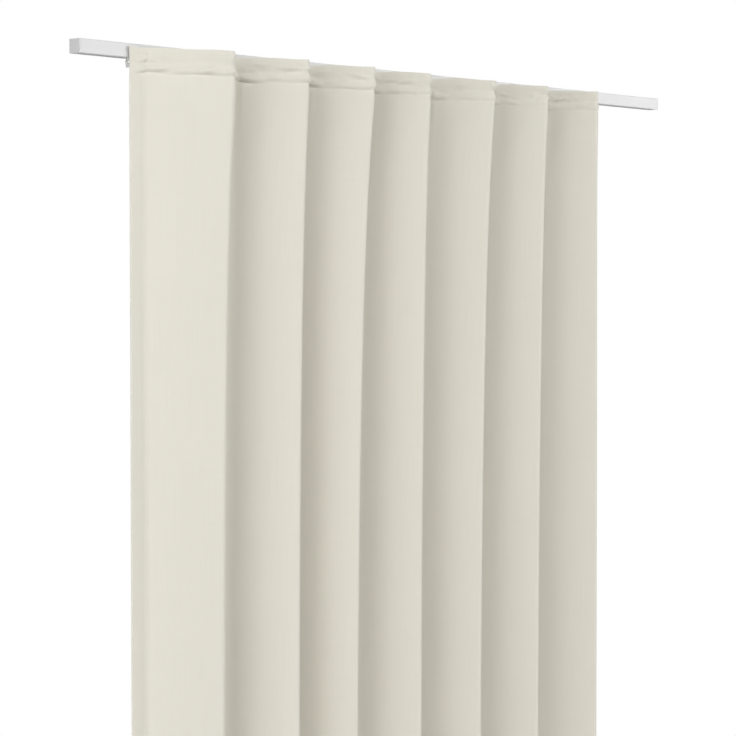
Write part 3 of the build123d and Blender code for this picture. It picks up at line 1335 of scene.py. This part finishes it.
@dataclass
class Stitching:
    """Rows of stitches along the heading's seams and the hems."""

    cloth: Cloth
    stitch_length: float = 3.0 * MM
    pitch: float = 4.0 * MM
    radius: float = 0.32 * MM
    sides: int = 6
    sunk_share: float = 0.35
    end_share: float = 0.25
    end_width_share: float = 0.6
    end_dip_share: float = 2.2
    end_facing: float = 0.9
    first_stitch: float = 1.5 * MM
    edge_margin: float = 1 * MM
    below_heading: float = 6 * MM
    lowest_seam: float = 32 * MM
    hem_inset: float = 3 * MM
    side_inset: float = 2.5 * MM

    def model_stitch(self) -> tuple[np.ndarray, np.ndarray]:
        """Shape one stitch along X from a cylinder, with its ends drawn in and bent into the cloth.

        Returns:
            Its points, and its faces as lists of point numbers.
        """
        bpy.ops.object.select_all(action="DESELECT")
        bpy.ops.mesh.primitive_cylinder_add(vertices=self.sides, radius=self.radius, depth=self.stitch_length,
                                            rotation=(0, QUARTER_TURN, 0), end_fill_type="NGON")
        bpy.ops.object.transform_apply(location=True, rotation=True, scale=True)
        stitch = bpy.context.object
        for end in (-1, 1):
            select_faces(stitch, lambda face: face.normal.x * end > self.end_facing)
            step = (end * self.end_share * self.stitch_length, 0, 0)
            bpy.ops.transform.translate(value=(-step[0], 0, 0))
            bpy.ops.mesh.extrude_region_move(TRANSFORM_OT_translate={"value": step})
            bpy.ops.transform.resize(value=(1, self.end_width_share, self.end_width_share))
            bpy.ops.transform.translate(value=(0, self.end_dip_share * self.radius, 0))
        bpy.ops.mesh.select_all(action="SELECT")
        bpy.ops.mesh.quads_convert_to_tris()
        bpy.ops.object.mode_set(mode="OBJECT")
        points = np.array([vertex.co for vertex in stitch.data.vertices])
        faces = np.array([list(face.vertices) for face in stitch.data.polygons])
        bpy.data.objects.remove(stitch, do_unlink=True)
        return points, faces

    def sew(self, name: str, places: np.ndarray, runs: np.ndarray, outs: np.ndarray) -> bpy.types.Object:
        """Copy the stitch to many places.

        Args:
            name: the finished object's name.
            places: the middle of each stitch.
            runs: unit vectors along each stitch.
            outs: unit vectors out of the cloth.

        Returns:
            The stitches' object.
        """
        points, faces = self.model_stitch()
        sides = np.cross(runs, outs)
        copies = (places[:, None, :] + points[None, :, 0:1] * runs[:, None, :]
                  - points[None, :, 1:2] * outs[:, None, :] + points[None, :, 2:3] * sides[:, None, :])
        offsets = np.arange(len(places))[:, None, None] * len(points)
        mesh = bpy.data.meshes.new(name)
        mesh.from_pydata(copies.reshape(-1, 3).tolist(), [], (faces[None] + offsets).reshape(-1, 3).tolist())
        mesh.materials.append(SEAM_THREAD.material())
        piece = bpy.data.objects.new(name, mesh)
        bpy.context.collection.objects.link(piece)
        bpy.ops.object.select_all(action="DESELECT")
        piece.select_set(True)
        bpy.context.view_layer.objects.active = piece
        bpy.ops.object.mode_set(mode="EDIT")
        bpy.ops.mesh.select_all(action="SELECT")
        bpy.ops.mesh.normals_make_consistent(inside=False)
        bpy.ops.object.mode_set(mode="OBJECT")
        bpy.ops.object.shade_smooth_by_angle(angle=SMOOTH_ANGLE)
        return piece

    def row(self, across: np.ndarray, drops: np.ndarray, back: float | None) -> tuple[np.ndarray, ...]:
        """One row of stitches through a line of places.

        Args:
            across: flat places of the row's ends and every stitch between.
            drops: their drops.
            back: how far behind the cloth's back face, or None for its front.

        Returns:
            Places, directions along and directions out, one for each stitch.
        """
        stations = self.cloth.plan.stations(across)
        if back is None:
            places, inwards = self.cloth.face(drops, stations)
            heights, outs = self.cloth.height(across, drops), -inwards
        else:
            places, outs = self.cloth.turned(drops, stations, back)
            heights = self.cloth.plan.top - drops
        points = np.column_stack((places, heights))
        outs = np.column_stack((outs, np.zeros(len(across))))
        runs = points[1:] - points[:-1]
        runs /= np.linalg.norm(runs, axis=1)[:, None]
        outs = outs[:-1] + outs[1:]
        outs -= (outs * runs).sum(axis=1)[:, None] * runs
        outs /= np.linalg.norm(outs, axis=1)[:, None]
        lift = (1 - 2 * self.sunk_share) * self.radius
        return (points[:-1] + points[1:]) / 2 + lift * outs, runs, outs

    def build(self, tape_back: float) -> list[bpy.types.Object]:
        """Sew the seams: one piece of thread on the front and one on the back.

        Args:
            tape_back: how far the tape's back lies behind the cloth's back face.

        Returns:
            The two pieces.
        """
        cloth, plan, heading = self.cloth, self.cloth.plan, self.cloth.heading
        along = np.arange(self.first_stitch, plan.width - self.edge_margin, self.pitch)
        down = np.arange(plan.heading_height + self.below_heading, plan.length - self.edge_margin, self.pitch)
        hem_line = np.full(len(along), plan.length - cloth.bottom_hem + self.hem_inset)
        side_line = plan.side_hem - self.side_inset
        pieces = []
        for name, back in (("seam_thread_front", None), ("seam_thread_back", cloth.hem_back)):
            rows = []
            for number, straight in enumerate(heading.seam_drops):
                if back is None:
                    drops = np.minimum(heading.seam(number, along), self.lowest_seam)
                    rows.append(self.row(along, drops, None))
                else:
                    rows.append(self.row(along, np.full(len(along), straight), tape_back))
            for place in (side_line, plan.width - side_line):
                rows.append(self.row(np.full(len(down), place), down, back))
            rows.append(self.row(along, hem_line, back))
            piece = self.sew(name, *(np.concatenate(part) for part in zip(*rows)))
            finish_soft(piece)
            pieces.append(piece)
        return pieces


@dataclass(frozen=True)
class Lamp:
    """A large soft square lamp.

    Args:
        name: the lamp's name.
        place: where it stands.
        size: the side of its face.
        power: in watts.
    """

    name: str
    place: Triple
    size: float
    power: float

    def stand(self, aim: Triple) -> None:
        """Add the lamp.

        Args:
            aim: the place that it points at.
        """
        bpy.ops.object.light_add(type="AREA", location=self.place)
        lamp = bpy.context.object
        lamp.name = self.name
        lamp.data.size = self.size
        lamp.data.energy = self.power
        x, y, z = np.subtract(aim, self.place)
        lamp.rotation_euler = (math.atan2(math.hypot(x, y), -z), 0.0, math.atan2(-x, y))


@dataclass
class Studio:
    """The floor, the light and the camera."""

    floor_gap: float = 12 * MM
    floor_radius: float = 2.3
    floor_corners: int = 96
    white: Shade = (1.0, 1.0, 1.0, 1.0)
    fill_strength: float = 0.05
    aim: Triple = (0.0, 0.0, -0.6)
    lamps: tuple[Lamp, ...] = (
        Lamp("near_light", (-3.09, -0.83, -0.9), 1.6, 30.0),
        Lamp("left_light", (-6.0, 0.0, 1.0), 3.0, 34.0),
        Lamp("key_light", (-3.46, -2.0, 1.6), 2.2, 73.0),
        Lamp("front_light", (0.6, -6.0, 2.5), 3.0, 165.0),
        Lamp("right_light", (4.6, -3.86, 0.0), 3.0, 165.0),
        Lamp("back_light", (0.5, 6.0, 0.6), 3.0, 250.0),
    )
    camera_place: Triple = (-2.706, -2.164, -0.293)
    camera_turn: float = -50.45
    focal_pixels: float = 2400.0
    frame_pixels: float = 736.0
    horizon_row: float = 277.0
    sensor: float = 36.0
    far_end: float = 100.0

    def build(self, lowest: float) -> None:
        """Set up the scene.

        Args:
            lowest: the curtain's lowest height.
        """
        self.floor(lowest)
        self.world()
        for lamp in self.lamps:
            lamp.stand(self.aim)
        self.camera()
        bpy.context.scene.view_settings.view_transform = "Standard"

    def floor(self, lowest: float) -> None:
        """Lay a plain pale floor just below the hem.

        Args:
            lowest: the curtain's lowest height.
        """
        bpy.ops.object.select_all(action="DESELECT")
        bpy.ops.mesh.primitive_circle_add(vertices=self.floor_corners, radius=self.floor_radius,
                                          fill_type="NGON", location=(0, 0, lowest - self.floor_gap))
        floor = bpy.context.object
        floor.name = "floor"
        floor.data.materials.append(FLOOR_PAINT.material())

    def world(self) -> None:
        """Plain soft light all round, with a background that the camera and reflections see as white."""
        world = bpy.data.worlds.new("studio")
        bpy.context.scene.world = world
        sheet = NodeSheet(world)
        light = sheet.tree.nodes["Background"]
        sheet.feed(light, {"Color": self.white, "Strength": self.fill_strength})
        seen = sheet.add("Background", {"Color": self.white})
        path = sheet.add("LightPath").outputs
        mirrored = sheet.math("MAXIMUM", path["Is Glossy Ray"], path["Is Transmission Ray"])
        shown = sheet.math("MAXIMUM", path["Is Camera Ray"], mirrored)
        mix = sheet.add("MixShader", {0: shown, 1: light.outputs[0], 2: seen.outputs[0]})
        sheet.feed(sheet.tree.nodes["World Output"], {"Surface": mix.outputs[0]})

    def camera(self) -> None:
        """Stand the camera where the picture was taken from."""
        bpy.ops.object.camera_add(location=self.camera_place)
        camera = bpy.context.object
        tilt = math.atan((self.frame_pixels / 2 - self.horizon_row) / self.focal_pixels)
        camera.rotation_euler = (QUARTER_TURN - tilt, 0.0, math.radians(self.camera_turn))
        camera.data.sensor_width = self.sensor
        camera.data.lens = self.focal_pixels / self.frame_pixels * self.sensor
        camera.data.clip_end = self.far_end
        bpy.context.scene.camera = camera


@dataclass(frozen=True)
class HardPieces:
    """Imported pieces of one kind, which keep their shape and get a finish.

    Args:
        start: what their names start with.
        finish: their finish.
        count: how many there are.
    """

    start: str
    finish: MouldedFinish
    count: int

    def dress(self) -> None:
        """Give each piece the finish."""
        material = self.finish.material()
        names = [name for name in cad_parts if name.startswith(self.start)]
        if len(names) != self.count:
            raise ValueError(f"{self.start}: {len(names)} pieces, not {self.count}")
        for name in names:
            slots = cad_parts[name].data.materials
            slots.clear()
            slots.append(material)
            log.info("%s: %s", name, material.name)


HARD_PIECES = (
    HardPieces("rail", RAIL_PAINT_WITH_PAINTED_SHADE, 1),
    HardPieces("end_cap_", CAP_PLASTIC_WITH_PAINTED_SHADE, 2),
    HardPieces("glider_", GLIDER_NYLON, 8),
    HardPieces("hook_", HOOK_NYLON, 8),
)


def main() -> None:
    """Build every piece in order."""
    logging.basicConfig(level=logging.INFO, format="%(name)s %(message)s")
    plan = FoldPlan()
    for pieces in HARD_PIECES:
        pieces.dress()
    cloth = Cloth(plan, Heading(plan))
    curtain = cloth.build()
    weaver = HeadingTape(plan)
    tape, *pockets = weaver.build()
    threads = Stitching(cloth).build(weaver.thickness)
    Studio().build(plan.bottom)


if __name__ == "__main__":
    main()
